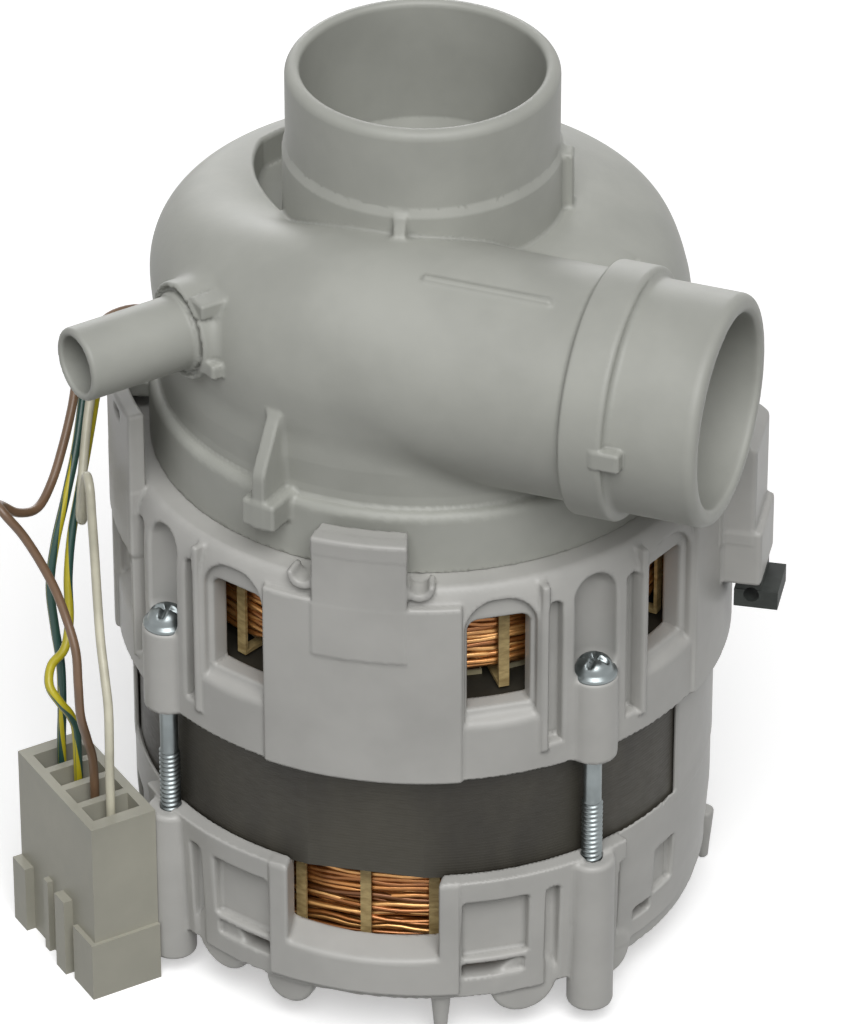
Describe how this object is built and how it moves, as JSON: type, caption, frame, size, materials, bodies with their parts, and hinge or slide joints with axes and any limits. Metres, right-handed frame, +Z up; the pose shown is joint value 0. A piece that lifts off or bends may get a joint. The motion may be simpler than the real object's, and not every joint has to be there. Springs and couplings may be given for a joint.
{
  "type": "dishwasher circulation pump",
  "caption": "Spiral plastic pump housing with inlet collar, outlet pipe and side spigot on an open two-bracket motor with visible windings, four leads and a plug.",
  "frame": {"origin": "where the shaft axis meets the plane that the pump stands on, at the lower bearing cup's flat end", "axes": "+Z up along the shaft to the inlet collar, +X along the outlet pipe, towards its mouth"},
  "size_m": [0.1097, 0.0963, 0.1433],
  "materials": {
    "grey_housing": "moulded, faint orange peel",
    "white_plate": "moulded",
    "impeller_plastic": "moulded",
    "brass_insert": "turned",
    "carbon": "lapped",
    "black_rubber": "matt",
    "spring_steel": "bright",
    "ceramic_seat": "lapped",
    "white_bracket": "moulded, satin",
    "sintered_bronze": "porous, oiled",
    "felt": "felt",
    "lamination_steel": "varnished sheet edges",
    "slot_paper": "insulating paper",
    "enamelled_copper": "enamelled wire",
    "lacing_cord": "varnished cord",
    "cast_aluminium": "die cast",
    "ground_steel": "ground",
    "fibre_washer": "pressed fibre",
    "zinc_steel": "bright zinc",
    "lead_green_yellow": "smooth insulation",
    "lead_brown": "smooth insulation",
    "lead_cream": "smooth insulation",
    "plug_plastic": "moulded",
    "terminal_brass": "tinned brass"
  },
  "bodies": {
    "root": {"pump_housing": "grey_housing", "housing_seal_ring": "black_rubber", "back_plate": "white_plate", "seal_seat": "ceramic_seat", "seal_seat_cup": "black_rubber", "upper_bracket": "white_bracket", "upper_bearing": "sintered_bronze", "upper_bearing_clip": "spring_steel", "upper_felt_ring": "felt", "stator_core": "lamination_steel", "slot_liners": "slot_paper", "slot_windings": "enamelled_copper", "upper_winding": "enamelled_copper", "lower_winding": "enamelled_copper", "upper_lacing": "lacing_cord", "lower_lacing": "lacing_cord", "lower_bearing": "sintered_bronze", "lower_bearing_clip": "spring_steel", "lower_felt_ring": "felt", "lower_bracket": "white_bracket", "motor_screws": "zinc_steel", "lead_grommet": "black_rubber", "lead_earth_1": "lead_green_yellow", "lead_earth_2": "lead_green_yellow", "lead_line": "lead_brown", "lead_neutral": "lead_cream", "plug_housing": "plug_plastic", "plug_terminals": "terminal_brass", "mounting_buffer": "black_rubber"},
    "rotor": {"rotor_core": "lamination_steel", "rotor_cage": "cast_aluminium", "rotor_shaft": "ground_steel", "rotor_spacers": "ground_steel", "thrust_washers": "fibre_washer", "impeller": "impeller_plastic", "impeller_shroud": "impeller_plastic", "impeller_insert": "brass_insert", "seal_face": "carbon", "seal_bellows": "black_rubber", "seal_spring": "spring_steel", "shaft_slinger": "black_rubber"}
  },
  "joints": [
    {"name": "rotor_spin", "type": "hinge", "parent": "root", "child": "rotor", "pos_m": [0, 0, 0.05], "axis": [0, 0, 1], "continuous": true}
  ]
}
